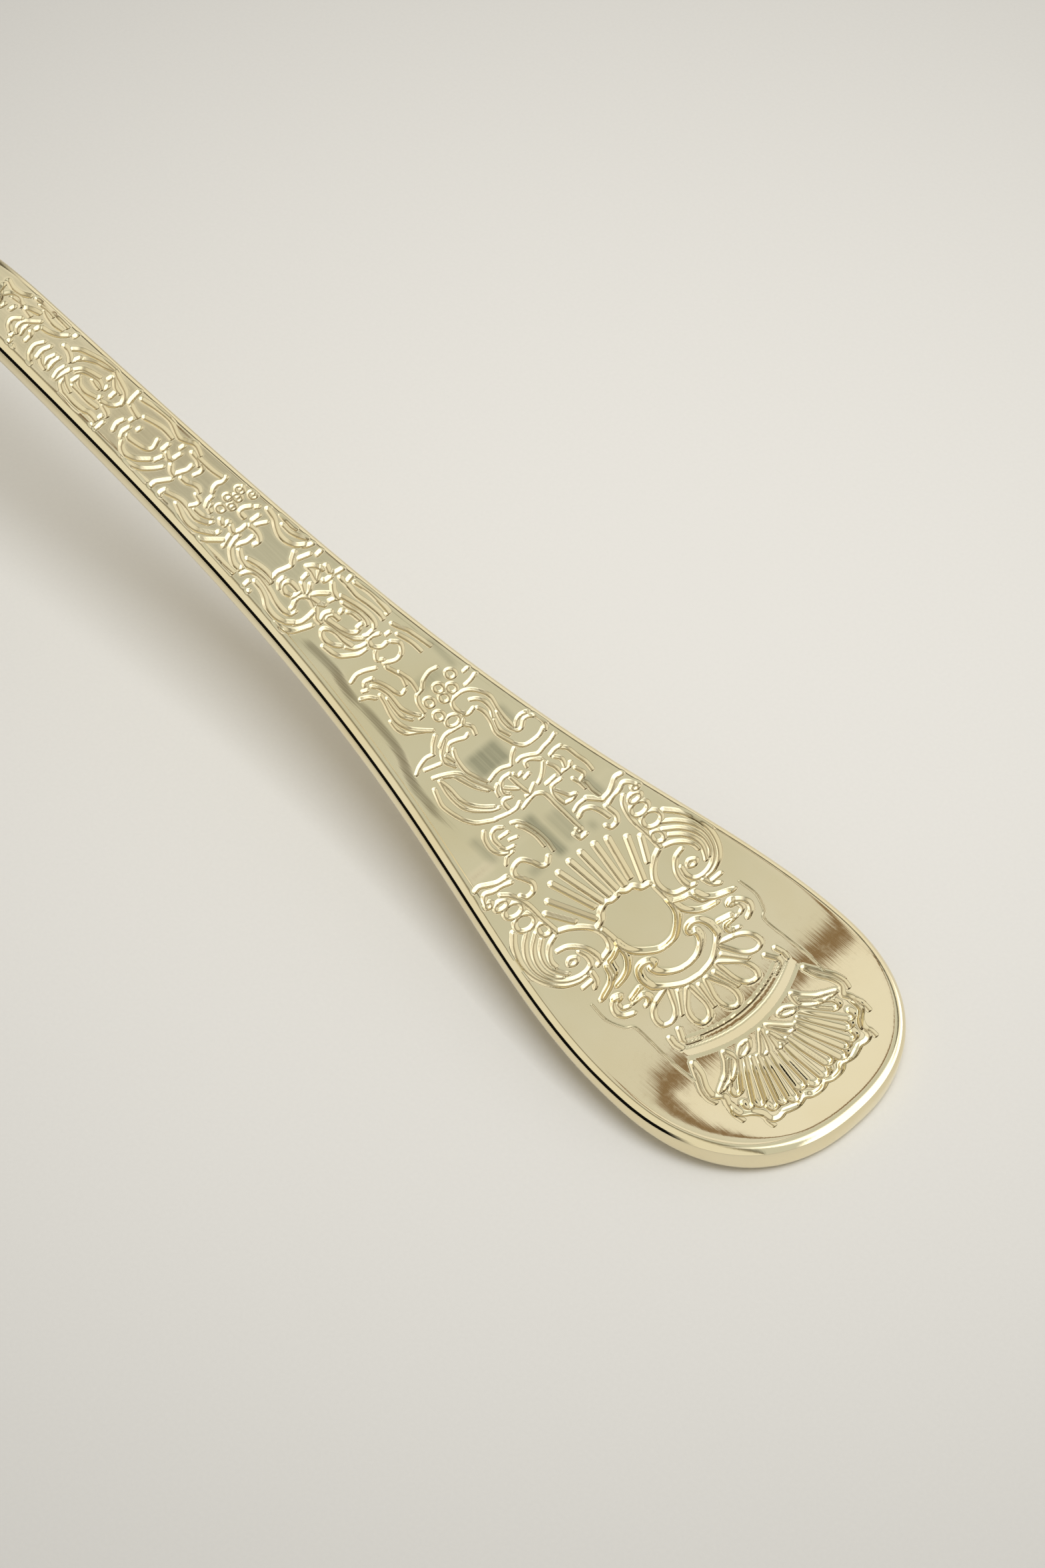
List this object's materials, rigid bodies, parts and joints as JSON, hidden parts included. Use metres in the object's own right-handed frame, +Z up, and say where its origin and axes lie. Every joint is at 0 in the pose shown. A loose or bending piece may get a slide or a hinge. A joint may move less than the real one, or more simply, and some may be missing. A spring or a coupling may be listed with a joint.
{
  "type": "cake server",
  "caption": "Cake server with a flat leaf-shaped blade, a cranked neck and an arched bar handle with a wide rounded ornamented end, for cutting and lifting slices of cake.",
  "frame": {"origin": "on the table, at the middle of the server's length and width", "axes": "+X from the blade's tip to the handle's end, +Y across the blade, +Z up from the table"},
  "size_m": [0.2682, 0.056, 0.0287],
  "materials": {
    "gold_polish": "polished"
  },
  "bodies": {
    "root": {"handle": "gold_polish", "blade": "gold_polish", "front_tang_pin": "gold_polish", "rear_tang_pin": "gold_polish", "braze_seam": "gold_polish"}
  },
  "joints": []
}
